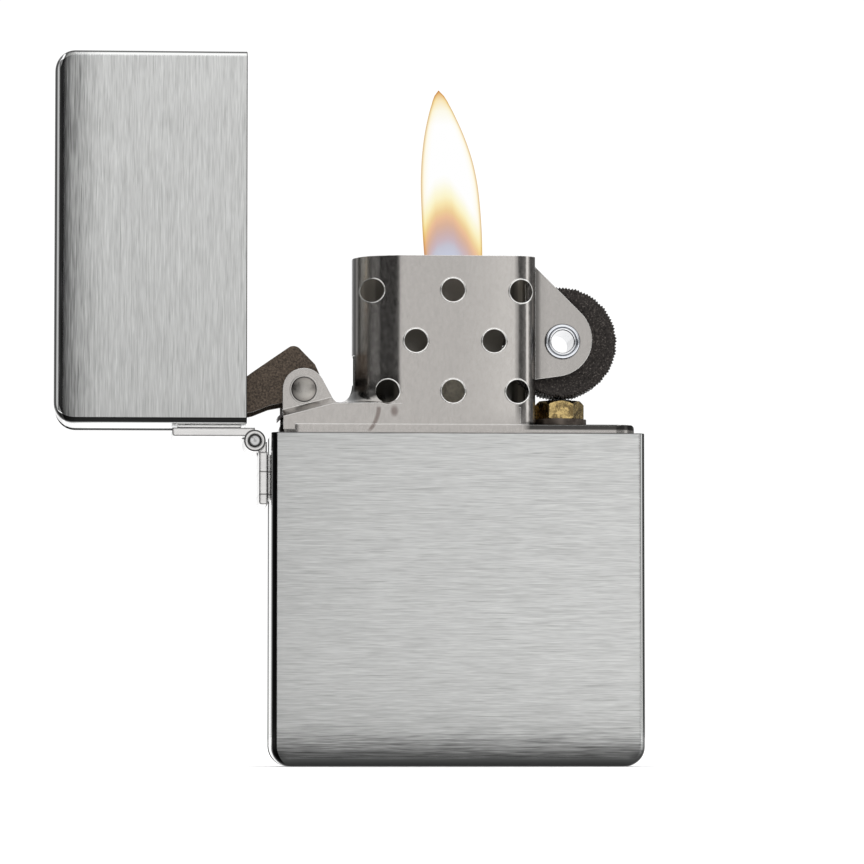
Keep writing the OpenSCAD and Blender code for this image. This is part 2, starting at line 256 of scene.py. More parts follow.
def scaled(tree, colour, *factors):
    """Colour times each factor."""
    for f in factors:
        n = node(tree, "ShaderNodeVectorMath", operation="SCALE")
        feed(tree, n.inputs[0], colour)
        feed(tree, n.inputs["Scale"], f)
        colour = n.outputs[0]
    return colour


def axes(tree, which):
    """The piece's own coordinates ("Object") or own normal ("Normal"), split."""
    coord = node(tree, "ShaderNodeTexCoord")
    split = node(tree, "ShaderNodeSeparateXYZ")
    tree.links.new(coord.outputs[which], split.inputs["Vector"])
    return split.outputs


def stretched_noise(tree, scale, detail=4.0, rough=0.6):
    """Noise in the piece's own coordinates, stretched by scale, in 1/m."""
    coord = node(tree, "ShaderNodeTexCoord")
    mapping = node(tree, "ShaderNodeMapping")
    mapping.inputs["Scale"].default_value = scale
    noise = node(tree, "ShaderNodeTexNoise")
    noise.inputs["Scale"].default_value = 1.0
    noise.inputs["Detail"].default_value = detail
    noise.inputs["Roughness"].default_value = rough
    tree.links.new(coord.outputs["Object"], mapping.inputs["Vector"])
    tree.links.new(mapping.outputs["Vector"], noise.inputs["Vector"])
    return noise.outputs["Fac"]


def varied(tree, noise, lo, hi):
    """Noise brought to run from lo to hi."""
    return remap(tree, noise, 0.3, 0.7, lo, hi)


def bump(tree, shader, height, strength, depth, normal=None):
    n = node(tree, "ShaderNodeBump")
    n.inputs["Strength"].default_value = strength
    n.inputs["Distance"].default_value = depth
    tree.links.new(height, n.inputs["Height"])
    if normal is not None:
        tree.links.new(normal, n.inputs["Normal"])
    tree.links.new(n.outputs["Normal"], shader.inputs["Normal"])


def edge_mask(tree, radius):
    """1 on edges and 0 on flat metal, with the normal of the softened edge."""
    soft = node(tree, "ShaderNodeBevel", samples=6)
    soft.inputs["Radius"].default_value = radius
    geometry = node(tree, "ShaderNodeNewGeometry")
    dot = node(tree, "ShaderNodeVectorMath", operation="DOT_PRODUCT")
    tree.links.new(soft.outputs["Normal"], dot.inputs[0])
    tree.links.new(geometry.outputs["Normal"], dot.inputs[1])
    return remap(tree, dot.outputs["Value"], 0.998, 0.93), soft.outputs["Normal"]


# -------- brushed case and lid
# painted shade: how the brushed faces darken towards the closed end, by distance in mm, with a painted
# highlight band near the lid's end
CASE_SHADE = [(0, 0.06), (0.7, 0.09), (1.3, 0.23), (1.9, 0.42), (2.5, 0.56), (3.3, 0.78), (4.3, 0.9),
              (6.7, 0.97), (10.7, 1.0)]
LID_SHADE = [(0, 0.1), (0.26, 0.12), (0.3, 1.4), (0.5, 1.4), (0.56, 0.1), (0.74, 0.12), (0.84, 0.27),
             (1.3, 0.35), (2.2, 0.62), (3.4, 0.85), (4.9, 1.0)]
SHADE_REACH = 12
# painted reflection: how the polished edge on the far side darkens, from its flat side round to the front
CASE_FAR = [(0.0, 0.55), (0.005, 0.55), (0.012, 0.3), (0.06, 0.25), (0.14, 0.2), (0.2, 0.6),
            (0.3, 0.85), (0.4, 0.95)]
LID_FAR = [(0.0, 0.75), (0.005, 0.75), (0.012, 0.08), (0.14, 0.1), (0.2, 0.9), (0.4, 1.0)]
# the same painted reflection on the hinge side, from the front round to the flat side
HINGE_SIDE = [(0.47, 1.0), (0.55, 1.0), (0.59, 0.02), (0.91, 0.02), (0.95, 0.72), (1.0, 0.78)]
# painted dark reflection line where the hinge side turns to the back, by normal and by place from front to
# back
BACK_TURN = [(0.0, 1.0), (0.5, 1.0), (0.505, 0.3), (0.65, 0.3), (0.72, 1.0), (1.0, 1.0)]
BACK_PLACE = [(0.0, 1.0), (0.4, 1.0), (0.5, 0.8), (0.58, 0.95), (0.63, 0.9), (0.68, 0.4), (0.74, 0.13),
              (1.0, 0.13)]
# half the cups' depth and a little more
HALF_DEPTH = 0.0065
# painted light: the brushed faces grow lighter from the hinge side to the far side
HINGE_TO_FAR_LIGHT = [(0.0, 0.84), (0.1, 0.9), (0.45, 0.98), (1.0, 1.09)]
CHROME = (0.9, 0.91, 0.9)
BRUSHED = (0.58, 0.584, 0.576)
BRUSHED_ROUGH = 0.34
POLISHED_ROUGH = 0.07
END_TONE = 0.85
# painted shade: the mouth's lip darkens to this tone over this width
RIM_TONE = 0.15
RIM_WIDTH = 0.00012


def corner_depth(tree, along_end, along_hinge, closed_end, span):
    """Distance from the closed end, following the cup's rounded corners."""
    corner = CUP_CORNER * MM
    mid, half = (span[0] + span[1]) / 2, (span[1] - span[0]) / 2
    depth = plus(tree, along_end, -closed_end)
    a = larger(tree, plus(tree, times(tree, depth, -1.0), corner), 0.0)
    b = magnitude(tree, plus(tree, along_hinge, -mid))
    b = larger(tree, plus(tree, b, corner - half), 0.0)
    b = times(tree, b, remap(tree, a, 0.0, corner / 1.5))
    return minus(tree, depth, minus(tree, diagonal(tree, a, b), a))


def end_shade(tree, depth, noise, shade, end_normal):
    """Painted shade towards the closed end, with a ragged front, and a plain tone on the end itself."""
    depth = remap(tree, depth, 0.0, SHADE_REACH * MM)
    wander = remap(tree, depth, 0.04, 0.2, 0.0, 0.3)
    ragged = plus(tree, depth, times(tree, plus(tree, noise, -0.5), wander))
    tone = ramp(tree, ragged, [(d / SHADE_REACH, v) for d, v in shade])
    flat_end = remap(tree, magnitude(tree, end_normal), 0.985, 0.998)
    return mix_value(tree, flat_end, tone, END_TONE)


def painted_edge_reflections(tree, place, normal, toward, face, far):
    """Painted dark reflections along the polished edges: the line seen from the front, and two parts
    of the line on the hinge side towards the back."""
    line = ramp(tree, remap(tree, toward, -1, 1), far + HINGE_SIDE)
    line = mix_value(tree, remap(tree, normal["Y"], 0.05, 0.25), line, 1.0)
    behind = ramp(tree, remap(tree, normal["Y"], -1, 1), BACK_TURN)
    back = ramp(tree, remap(tree, place["Y"], -HALF_DEPTH, HALF_DEPTH), BACK_PLACE)
    polished = remap(tree, face, 0.0, 1.0, 1.0, 0.0)
    seen = times(tree, remap(tree, toward, 0.1, 0.5), polished)
    return line, behind, mix_value(tree, seen, 1.0, back)


def brushed(name, along, end_dir, ends, shade, hinge, span, far, painted_light_by_end):
    """Drawn and brushed cup. Front and back are brushed along one axis and carry painted shade towards
    the closed end; the rounded edges and the sides are polished, with painted dark reflections along
    the edges. ends holds the closed end and the rim along end_dir, span the hinge side and the far
    side along hinge, far the painted reflection tones of the far edge, and painted_light_by_end the
    painted light tone at the two ends."""
    mat, tree, bsdf = new_material(name)

    def streaks(across, length, detail):
        scale = [across] * 3
        scale["XYZ".index(along)] = length
        return stretched_noise(tree, scale, detail)

    # streaks per metre across and along the brushing
    fine, mid, scratch = streaks(13000, 600, 1.0), streaks(7000, 280, 2.0), streaks(8500, 160, 1.0)
    both = plus(tree, times(tree, fine, 0.5), times(tree, mid, 0.5))
    place, normal = axes(tree, "Object"), axes(tree, "Normal")
    face = remap(tree, magnitude(tree, normal["Y"]), 0.93, 0.985)
    along_end, along_hinge = place["XYZ".index(end_dir)], place["XYZ".index(hinge)]
    depth = corner_depth(tree, along_end, along_hinge, ends[0], span)
    end = end_shade(tree, depth, mid, shade, normal["XYZ".index(end_dir)])
    # painted shade: a thin dark line along the mouth's lip
    rim = remap(tree, along_end, ends[1] - RIM_WIDTH, ends[1] - RIM_WIDTH / 2, 1.0, RIM_TONE)
    toward = times(tree, normal["XYZ".index(hinge)], -1.0)
    line, behind, back = painted_edge_reflections(tree, place, normal, toward, face, far)
    # the brushed tint carries painted light: lighter from the hinge side to the far side, and a tone that
    # changes between the two ends
    tint = scaled(tree, BRUSHED, varied(tree, both, 0.78, 1.22), remap(tree, scratch, 0.28, 0.36, 0.7, 1.0),
                  ramp(tree, remap(tree, along_hinge, *span), HINGE_TO_FAR_LIGHT),
                  remap(tree, along_end, *ends, *painted_light_by_end))
    base = mix_colour(tree, face, CHROME, tint)
    # painted shade towards the closed end, painted dark edge reflections and painted shade along the
    # mouth's lip
    feed(tree, bsdf.inputs["Base Color"], scaled(tree, base, end, line, behind, back, rim))
    brushed_rough = varied(tree, fine, BRUSHED_ROUGH * 0.85, BRUSHED_ROUGH * 1.15)
    feed(tree, bsdf.inputs["Roughness"], mix_value(tree, face, POLISHED_ROUGH, brushed_rough))
    feed(tree, bsdf.inputs["Anisotropic"], mix_value(tree, face, 0.0, 0.2))
    direction = node(tree, "ShaderNodeVectorTransform", vector_type="VECTOR",
                     convert_from="OBJECT", convert_to="WORLD")
    direction.inputs["Vector"].default_value = [1.0 if a == along else 0.0 for a in "XYZ"]
    feed(tree, bsdf.inputs["Tangent"], direction.outputs["Vector"])
    # the painted dark reflections are matt, so that they stay dark at a flat angle
    feed(tree, bsdf.inputs["Metallic"], remap(tree, times(tree, behind, back), 0.35, 0.8))
    bsdf.inputs["Specular IOR Level"].default_value = 0.0
    bump(tree, bsdf, mix_value(tree, face, 0.5, both), 0.3, 0.00002)
    return mat


# -------- tones of the insert
def inside_mask(tree, place):
    """1 on the faces within the chimney and the can, by depth behind the chimney's outline."""
    lo, hi = CHIMNEY
    from_middle = plus(tree, place["X"], -(lo + hi) / 2 * MM)
    left = remap(tree, from_middle, -0.0001, 0.0001, 1.0, 0.0)
    corner = mix_value(tree, left, RIGHT_RADIUS * MM, LEFT_RADIUS * MM)

    def beyond(value, half):
        return larger(tree, plus(tree, plus(tree, magnitude(tree, value), corner), -half * MM), 0.0)

    dx, dy = beyond(from_middle, (hi - lo) / 2), beyond(place["Y"], CHIMNEY_HALF)
    gap = minus(tree, diagonal(tree, dx, dy), corner)
    return remap(tree, gap, -0.0002, -0.0003)


def lip_shade_and_highlight(tree, x, z):
    """Painted shade on the lip of the can to the right of the chimney, with a band left light for a painted
    highlight line.
    """
    lip_z, starts_x = (0.0338, 0.0352), (0.0066, 0.0074)
    tone = ramp(tree, remap(tree, z, *lip_z),
                [(0.0, 0.2), (0.1, 0.2), (0.2, 1.0), (0.34, 1.0), (0.42, 0.16), (0.9, 0.1), (1.0, 1.0)])
    return mix_value(tree, remap(tree, x, *starts_x), 1.0, tone)


def wheel_ear_bend(tree, x, z):
    """Shaded bend where the wheel's ear leaves the chimney."""
    bend_x, starts_z = (0.0078, 0.0094), (0.0372, 0.0376)
    tone = ramp(tree, remap(tree, x, *bend_x),
                [(0.0, 1.0), (0.1, 1.0), (0.16, 0.3), (0.34, 0.35), (0.55, 0.9), (1.0, 1.0)])
    return mix_value(tree, remap(tree, z, *starts_z), 1.0, tone)


def left_corner_reflections(tree, x, z):
    """Painted reflections: dark and bright bands on the chimney's round left corner, darker towards the
    foot near the corner, down to a ragged line.
    """
    corner_x = (CHIMNEY[0] * MM, (CHIMNEY[0] + LEFT_RADIUS) * MM)
    foot_z, start_z = (0.038, 0.0404), (0.04, 0.0404)
    corner_end_x, ear_x = (-0.0062, -0.0057), (-0.0113, -0.0111)
    # the ragged line falls to the right by this slope, and wanders by this much
    slope, wander = -0.26, 0.0007
    bands = ramp(tree, remap(tree, x, *corner_x), [
        (0.0, 0.12), (0.05, 0.1), (0.08, 1.0), (0.14, 1.1), (0.17, 1.6), (0.26, 1.6), (0.3, 1.2),
        (0.46, 0.85), (0.51, 0.75), (0.55, 0.46), (0.9, 0.46), (0.95, 1.0), (1.0, 1.0)])
    foot = remap(tree, z, *foot_z, 0.12, 1.0)
    bands = times(tree, bands, mix_value(tree, remap(tree, x, *corner_end_x), foot, 1.0))
    ragged = times(tree, stretched_noise(tree, (2500, 2500, 900), 3.0), wander)
    rise = larger(tree, plus(tree, times(tree, x, slope), ragged), 0.0)
    above = remap(tree, plus(tree, z, rise), *start_z)
    above = times(tree, above, remap(tree, x, *ear_x))
    return mix_value(tree, above, 1.0, bands)


def right_corner_reflections(tree, x, z):
    """The same painted reflection bands on the tighter right corner."""
    middle_to_side, starts_z = (0.0, 0.0081), (0.0345, 0.0365)
    bands = ramp(tree, remap(tree, x, *middle_to_side), [
        (0.0, 1.0), (0.35, 1.1), (0.6, 1.22), (0.71, 1.22), (0.74, 0.8), (0.78, 0.4), (0.8, 0.4),
        (0.85, 0.8), (0.87, 1.5), (0.91, 1.4), (0.925, 0.55), (0.985, 0.75), (1.0, 1.0)])
    return mix_value(tree, remap(tree, z, *starts_z), 1.0, bands)


def stains(tree, place):
    """Two brown heat marks under the lower left air hole, on the front only."""
    x, z = place["X"], place["Z"]
    # a curved run that bends to the left as it drops, soft at its sides and its foot
    run_left, run_top, run_bend = 0.0081, 0.0366, 160.0
    run_half, run_foot = (0.00012, 0.0003), (0.0022, 0.0026)
    drop = plus(tree, times(tree, z, -1.0), run_top)
    run_x = plus(tree, times(tree, times(tree, drop, drop), run_bend), run_left)
    off = magnitude(tree, plus(tree, x, run_x))
    run = times(tree, remap(tree, off, *run_half, 1.0, 0.0), remap(tree, drop, -0.0001, 0.0001))
    run = times(tree, run, remap(tree, drop, *run_foot, 1.0, 0.0))
    # a spot beside it, taller than wide
    spot_x, spot_z, spot_radius, flatten = -0.0065, 0.0362, (0.0002, 0.0005), 0.7
    away = distance(tree, x, times(tree, z, flatten), spot_x, flatten * spot_z)
    both = larger(tree, run, remap(tree, away, *spot_radius, 1.0, 0.0))
    front, strength = (-0.0045, -0.0043), 0.6
    return times(tree, both, remap(tree, place["Y"], *front, strength, 0.0))


def insert_tones(tree, tint, within, inside):
    """Colour of the insert's sheet: painted shade within, stained, with painted shade and a painted
    highlight line on the lip, painted shade at the wheel's ear, and painted reflection bands at its
    corners.
    """
    place = axes(tree, "Object")
    tint = mix_colour(tree, within, tint, inside)
    tint = mix_colour(tree, stains(tree, place), tint, STAIN)
    shades = (lip_shade_and_highlight, wheel_ear_bend, left_corner_reflections, right_corner_reflections)
    return scaled(tree, tint, *(shade(tree, place["X"], place["Z"]) for shade in shades))


# -------- tones of the hinge
# painted highlight and shade rings on the barrel's end, from its axis out
RINGS_REACH = 0.0024
BARREL_RING_REFLECTIONS = [(0.0, 0.5), (0.1, 0.95), (0.17, 0.9), (0.21, 0.15), (0.27, 0.1), (0.3, 0.8), (0.38, 1.0),
                (0.41, 0.2), (0.455, 0.04), (0.49, 1.0)]
# two cross lines on the lower leaf, by height
LEAF_Z = (0.0270, 0.0306)
LEAF_LINES = [(0.0, 1.0), (0.16, 1.0), (0.19, 0.1), (0.22, 1.0),
              (0.8, 1.0), (0.83, 0.1), (0.86, 1.0), (1.0, 1.0)]
# painted shade: a dark line between the leaf and its pad, and the pad painted lighter beyond it as a
# painted reflection, by distance beyond the axis
PAD_BEYOND = (0.001, 0.002)
PAD_SHADE_LINE = [(0.0, 1.0), (0.28, 1.0), (0.3, 0.1), (0.35, 0.12), (0.38, 1.2), (1.0, 1.2)]


def hinge_tones(tree, tint, barrel):
    """Colour of the hinge, with painted highlight and shade rings on the barrel's end and painted shade
    between leaf and pad, and how much of the painted dark edge reflection shows.
    """
    place = axes(tree, "Object")
    x, z = place["X"], place["Z"]
    away = distance(tree, x, z, *barrel)
    rings = ramp(tree, remap(tree, away, 0.0, RINGS_REACH), BARREL_RING_REFLECTIONS)
    lines = ramp(tree, remap(tree, z, *LEAF_Z), LEAF_LINES)
    beyond = larger(tree, plus(tree, x, -barrel[0]), plus(tree, z, -barrel[1]))
    gap = ramp(tree, remap(tree, beyond, *PAD_BEYOND), PAD_SHADE_LINE)
    edge_share = remap(tree, beyond, 0.00133, 0.00136, 1.0, 0.0)
    end_face = remap(tree, magnitude(tree, axes(tree, "Normal")["Y"]), 0.8, 0.9)
    return scaled(tree, tint, lines, mix_value(tree, end_face, 1.0, rings), gap), edge_share


# -------- materials
def metal(name, colour, rough, spread=0.15, scale=(900, 900, 900), dirt=None, dirt_scale=400,
          cover=(0.48, 0.62), grain=0.00001, metallic=1.0, edge=None, radius=0.00008, inside=None,
          barrel=None):
    """Metal with grain, an optional second tone in patches, and edges in an edge colour, which is a
    painted highlight or a painted dark reflection on the stainless sheet, the hinge and the rivets.
    inside is the painted shade colour within the insert, and barrel the axis of the hinge."""
    mat, tree, bsdf = new_material(name)
    fine = stretched_noise(tree, scale, 5.0)
    tint = scaled(tree, colour, varied(tree, fine, 1 - spread, 1 + spread))
    bsdf.inputs["Metallic"].default_value = metallic
    if dirt:
        spots = stretched_noise(tree, (dirt_scale,) * 3, 6.0, 0.7)
        tint = mix_colour(tree, remap(tree, spots, *cover, 0, 0.85), tint, dirt)
    # painted shade within the insert, and the painted shade, highlight and reflections of insert_tones
    if inside:
        within = inside_mask(tree, axes(tree, "Object"))
        tint = insert_tones(tree, tint, within, inside)
        feed(tree, bsdf.inputs["Metallic"], remap(tree, within, 0.0, 1.0, metallic, 0.35))
    edge_share = 1.0
    if barrel:
        tint, edge_share = hinge_tones(tree, tint, barrel)
    soft = None
    # edges in the edge colour: a painted highlight or a painted dark reflection
    if edge is not None:
        mask, soft = edge_mask(tree, radius)
        tint = mix_colour(tree, times(tree, mask, edge_share), tint, edge)
    feed(tree, bsdf.inputs["Base Color"], tint)
    feed(tree, bsdf.inputs["Roughness"], varied(tree, fine, rough * 0.8, min(1, rough * 1.25)))
    bump(tree, bsdf, fine, 0.35, grain, soft)
    return mat


def painted_rings(name, node_name, rings, rough, across=(1.0, 1.0)):
    """Turned rivet head: painted highlight and shade rings by distance from its axis in mm, and painted
    shade that changes from left to right.
    """
    mat, tree, bsdf = new_material(name)
    place = axes(tree, "Object")
    cx, cz, _ = middle(node_name)
    reach = 2
    away = distance(tree, place["X"], place["Z"], cx, cz)
    tone = ramp(tree, remap(tree, away, 0.0, reach * MM), [(r / reach, c) for r, c in rings])
    side = remap(tree, place["X"], cx - 0.0012, cx + 0.0008, *across)
    fine = stretched_noise(tree, (3000,) * 3, 3.0)
    feed(tree, bsdf.inputs["Base Color"], scaled(tree, tone, varied(tree, fine, 0.9, 1.08), side))
    feed(tree, bsdf.inputs["Roughness"], varied(tree, fine, rough * 0.8, rough * 1.25))
    bsdf.inputs["Metallic"].default_value = 1.0
    return mat


def hole_edge(name):
    """Bright edge of an air hole, lit from the lower left and duller on the other side."""
    mat, tree, bsdf = new_material(name)
    normal = axes(tree, "Normal")
    lit = plus(tree, times(tree, normal["X"], -0.5), times(tree, normal["Z"], -0.85))
    tone = ramp(tree, remap(tree, lit, -1, 1),
                [(0.0, 1.2), (0.3, 1.1), (0.55, 0.85), (0.75, 0.55), (1.0, 0.4)])
    fine = stretched_noise(tree, (3000,) * 3, 3.0)
    feed(tree, bsdf.inputs["Base Color"], scaled(tree, LIGHT_RIM, tone, varied(tree, fine, 0.8, 1.15)))
    bsdf.inputs["Metallic"].default_value = 1.0
    bsdf.inputs["Roughness"].default_value = 0.15
    return mat


def fibre(name, colour, rough, spread=0.1, scale=600, grain=0.00005, sheen=0.0):
    """Fibres: matt, with fine colour change and a soft bump."""
    mat, tree, bsdf = new_material(name)
    fine = stretched_noise(tree, (scale,) * 3, 6.0)
    feed(tree, bsdf.inputs["Base Color"], scaled(tree, colour, varied(tree, fine, 1 - spread, 1 + spread)))
    bsdf.inputs["Roughness"].default_value = rough
    bsdf.inputs["Sheen Weight"].default_value = sheen
    bump(tree, bsdf, fine, 0.6, grain)
    return mat


def middle(name):
    """Middle of a node as x and z in metres, and how far it reaches to the back in mm."""
    lo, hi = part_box(name)
    return (lo[0] + hi[0]) / 2, (lo[2] + hi[2]) / 2, hi[1] / MM


# painted highlight on the stainless sheet's edges
EDGE_HIGHLIGHT = (0.95, 0.94, 0.92)
LIGHT_RIM = (0.95, 0.94, 0.91)
# painted dark reflection on the edges of the hinge and the rivets
EDGE_DARK_REFLECTION = (0.03, 0.03, 0.03)
STAIN = (0.1, 0.06, 0.05)
# inside: painted shade colour on the sheet's faces within the chimney and the can
STAINLESS = {"colour": (0.44, 0.42, 0.4), "rough": 0.2, "spread": 0.07, "scale": (3000, 3000, 1500),
             "grain": 0.000004, "inside": (0.17, 0.16, 0.14)}
MATERIALS = {
    "case": brushed("case brushed", along="X", end_dir="Z", ends=(0.0, case_hi.z), shade=CASE_SHADE,
                    hinge="X", span=(case_lo.x, case_hi.x), far=CASE_FAR, painted_light_by_end=(0.95, 1.06)),
    "lid": brushed("lid brushed", along="Z", end_dir="X", ends=(lid_lo.x, lid_hi.x), shade=LID_SHADE,
                   hinge="Z", span=(lid_lo.z, lid_hi.z), far=LID_FAR, painted_light_by_end=(1.0, 1.0)),
    "leaf": metal("hinge leaf", (0.68, 0.67, 0.66), 0.12, 0.06, (200, 2500, 2500), edge=EDGE_DARK_REFLECTION,
                  radius=0.0003, barrel=PIN),
    "pin": metal("hinge pin", (0.6, 0.6, 0.6), 0.15, 0.1, dirt=(0.06, 0.055, 0.05), dirt_scale=1700,
                 edge=EDGE_DARK_REFLECTION, radius=0.00014, barrel=PIN),
    "stainless": metal("stainless sheet", edge=EDGE_HIGHLIGHT, **STAINLESS),
    "foot": metal("bent stainless sheet", **STAINLESS),
    "rim": hole_edge("hole rim"),
    "plate": metal("tank plate", (0.16, 0.135, 0.115), 0.35, 0.25, dirt=(0.05, 0.04, 0.035)),
    "cam": metal("cam steel", (0.11, 0.085, 0.065), 0.42, 0.5, (4500,) * 3, dirt=(0.03, 0.024, 0.02),
                 dirt_scale=5000, cover=(0.45, 0.6), metallic=0.85, edge=(0.16, 0.14, 0.12),
                 radius=0.00006),
    "rivet": metal("rivet", (0.6, 0.58, 0.56), 0.12, 0.06, edge=EDGE_DARK_REFLECTION, radius=0.00005),
    # rivet heads with painted highlight and shade rings; the domed head is painted darker on its left
    "dome": painted_rings("domed rivet", "cam_rivet", [
        (0.0, (0.5, 0.48, 0.45)), (0.8, (0.42, 0.4, 0.37)), (1.15, (0.3, 0.28, 0.26)), (1.25, (0.02,) * 3),
        (1.33, (0.03,) * 3), (1.37, (0.6, 0.58, 0.55)), (1.44, (0.5, 0.48, 0.46)), (1.48, (0.08,) * 3)],
        0.32, (0.35, 1.1)),
    "eyelet": painted_rings("hollow rivet", "wheel_rivet", [
        (1.0, (0.3, 0.31, 0.33)), (1.17, (0.4, 0.41, 0.43)), (1.2, (0.9, 0.91, 0.93)),
        (1.33, (0.8, 0.81, 0.83)), (1.38, (0.16, 0.17, 0.19)), (1.47, (0.25, 0.26, 0.28)),
        (1.53, (0.72, 0.74, 0.78)), (1.68, (0.8, 0.82, 0.86)), (1.76, (0.2, 0.21, 0.23)),
        (1.85, (0.03, 0.03, 0.03))], 0.15),
    "spring": metal("leaf spring", (0.12, 0.11, 0.11), 0.3, 0.2),
    "wheel": metal("wheel steel", (0.03, 0.026, 0.024), 0.45, 0.7, (5200,) * 3, grain=0.0002,
                   dirt=(0.17, 0.15, 0.135), dirt_scale=5600, cover=(0.53, 0.66), metallic=0.8),
    "brass": metal("collar brass", (0.62, 0.46, 0.2), 0.25, 0.35, (2600,) * 3, dirt=(0.1, 0.07, 0.035),
                   dirt_scale=1500, cover=(0.44, 0.56), edge=(0.6, 0.47, 0.24)),
    "tube": metal("tube brass", (0.6, 0.47, 0.22), 0.35, 0.12),
    "flint": metal("flint alloy", (0.2, 0.2, 0.21), 0.6, 0.25, grain=0.00004, metallic=0.7),
    "wire": metal("spring wire", (0.5, 0.5, 0.5), 0.3, 0.1),
    "copper": metal("copper wire", (0.7, 0.33, 0.18), 0.3, 0.15),
    "wick": fibre("wick cord", (0.62, 0.57, 0.47), 0.95, 0.25, 2500),
    "cotton": fibre("cotton fibre", (0.86, 0.85, 0.8), 1.0, 0.08, 900, 0.0003, 0.3),
    "felt": fibre("pressed felt", (0.7, 0.69, 0.64), 1.0, 0.12, 1500, 0.0002, 0.3),
}
NODE_MATERIAL = {
    "case_bottom": "case", "case_lid": "lid", "hinge_leaf_lower": "leaf", "hinge_leaf_upper": "leaf",
    "hinge_pin": "pin", "insert_shell": "stainless", "tank_plate": "plate", "cam": "cam",
    "cam_rivet": "rivet", "cam_spring": "spring", "cam_spring_rivet": "rivet", "flint_wheel": "wheel",
    "wheel_rivet": "rivet", "flint_collar": "brass", "collar_washer": "plate", "flint": "flint",
    "flint_tube": "tube", "spring_plunger": "tube", "flint_spring": "wire", "flint_screw": "tube",
    "wick": "wick", "wick_wire": "copper", "cotton_wadding": "cotton", "felt_pad": "felt",
}
for name, key in NODE_MATERIAL.items():
    dress(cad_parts[name], MATERIALS[key])


# -------- case and lid
def drop_in(radius, left):
    """How far a rounded edge has come in, at a distance left from the closed end."""
    if left >= radius:
        return 0
    return radius - math.sqrt(max(0, radius ** 2 - (radius - left) ** 2))


def cup_rings(hx, hy, height, upright, corner, edge, bulge=0.05):
    """Rings in metres from the rim to the closed end, from sizes in mm. upright is the radius of
    the upright edges. corner rounds the closed end seen from the front, and edge rounds it
    towards the faces, which come in by bulge more over the last CUP_TAPER."""
    levels = [0.0, height - corner - 2.0, height - corner - 1.0]
    levels += [height - corner + corner * math.sin(math.radians(a)) for a in range(0, 91, 6)]
    rings = []
    for z in levels:
        left = height - z
        dx, dy = drop_in(corner, left), drop_in(edge, left)
        dy += bulge * max(0, 1 - left / CUP_TAPER) ** 2
        ring = rounded_ring(hx - dx, hy - dy, max(0.15, upright - 0.3 * dy), z)
        rings.append([(x * MM, y * MM, z * MM) for x, y, z in ring])
    return rings


def cup(name, height):
    """Case or lid, mouth down and closed end up, about its own middle. Its lip is rounded."""
    hx, hy = case_hi.x / MM, case_hi.y / MM
    lip, outside, inside = 0.06, 0.7, 0.3
    outer = cup_rings(hx, hy, height, outside, CUP_CORNER, CUP_EDGE)
    inner = cup_rings(hx - WALL, hy - WALL, height - WALL, inside, CUP_CORNER - WALL, CUP_EDGE - WALL, 0)
    mouth = []
    for inset, radius, z in ((0, outside, lip), (lip, outside - lip, 0),
                             (WALL - lip, inside + lip, 0), (WALL, inside, lip)):
        ring = rounded_ring(hx - inset, hy - inset, radius, z)
        mouth.append([(x * MM, y * MM, z * MM) for x, y, z in ring])
    rings = outer[::-1][:-1] + mouth + inner[1:]
    verts, faces = loft(rings, cap_start=True, cap_end=True)
    return mesh_object(name, verts, faces)


case = cup("case_cup", case_hi.z / MM)
case.data.transform(Matrix.Translation((0, 0, case_hi.z)) @ Matrix.Rotation(math.pi, 4, "X"))
dress(case, MATERIALS["case"])
weighted(case, 35)
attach(case, "case")
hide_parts("case_bottom")

lid = cup("lid_cup", (lid_hi.x - lid_lo.x) / MM)
# the closed end points to -X, and the mouth to +X
turn = Matrix.Rotation(math.radians(-90), 4, "Y")
lid.data.transform(Matrix.Translation((lid_hi.x, 0, (lid_lo.z + lid_hi.z) / 2)) @ turn)
dress(lid, MATERIALS["lid"])
weighted(lid, 35)
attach(lid, "lid")
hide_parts("case_lid")


# -------- turned pieces
def smooth_path(points, per=6):
    """Catmull-Rom curve through the points."""
    pts = [points[0], *points, points[-1]]
    out = []
    for a, b, c, d in zip(pts, pts[1:], pts[2:], pts[3:]):
        for k in range(per):
            t = k / per
            out.append(tuple(0.5 * (2 * q + (r - p) * t + (2 * p - 5 * q + 4 * r - s) * t ** 2
                                    + (3 * q - p - 3 * r + s) * t ** 3)
                             for p, q, r, s in zip(a, b, c, d)))
    return out + [points[-1]]


def turned_ring(points, centre):
    """One point of (radius, y) in mm at each angle, about a Y axis through centre (x, z) in metres."""
    return [(centre[0] + r * MM * math.cos(a), y * MM, centre[1] + r * MM * math.sin(a))
            for (r, y), a in zip(points, around(len(points)))]


def turned(name, profile, centre, n=72, close=False):
    """Profile of (radius, y) turned about a Y axis through centre."""
    rings = [turned_ring([point] * n, centre) for point in profile]
    verts, faces = loft(rings, close=close, cap_start=not close, cap_end=not close)
    return mesh_object(name, verts, faces)


def both_ends(half):
    """Profile of (radius, y) from one end to the other, from its half at the back."""
    front = [(r, -y) for r, y in half]
    return front + (half[:-1] if half[-1][1] == 0 else half)[::-1]


# the rivets' heads as (radius, depth below the head's top) in mm
cx, cz, reach = middle("cam_rivet")
dome = smooth_path([(0.02, 0.0), (0.45, 0.02), (0.85, 0.08), (1.15, 0.17), (1.32, 0.25), (1.37, 0.31),
                    (1.4, 0.24), (1.46, 0.24), (1.5, 0.3), (1.5, 0.42)])
shank = [(0.75, reach - 0.45), (0.75, 0.0)]
profile = both_ends([(r, reach - 0.01 - depth) for r, depth in dome] + shank)
cam_rivet = turned("cam_rivet_turned", profile, (cx, cz))
dress(cam_rivet, MATERIALS["dome"])
weighted(cam_rivet, 50)
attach(cam_rivet, "case")
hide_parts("cam_rivet")

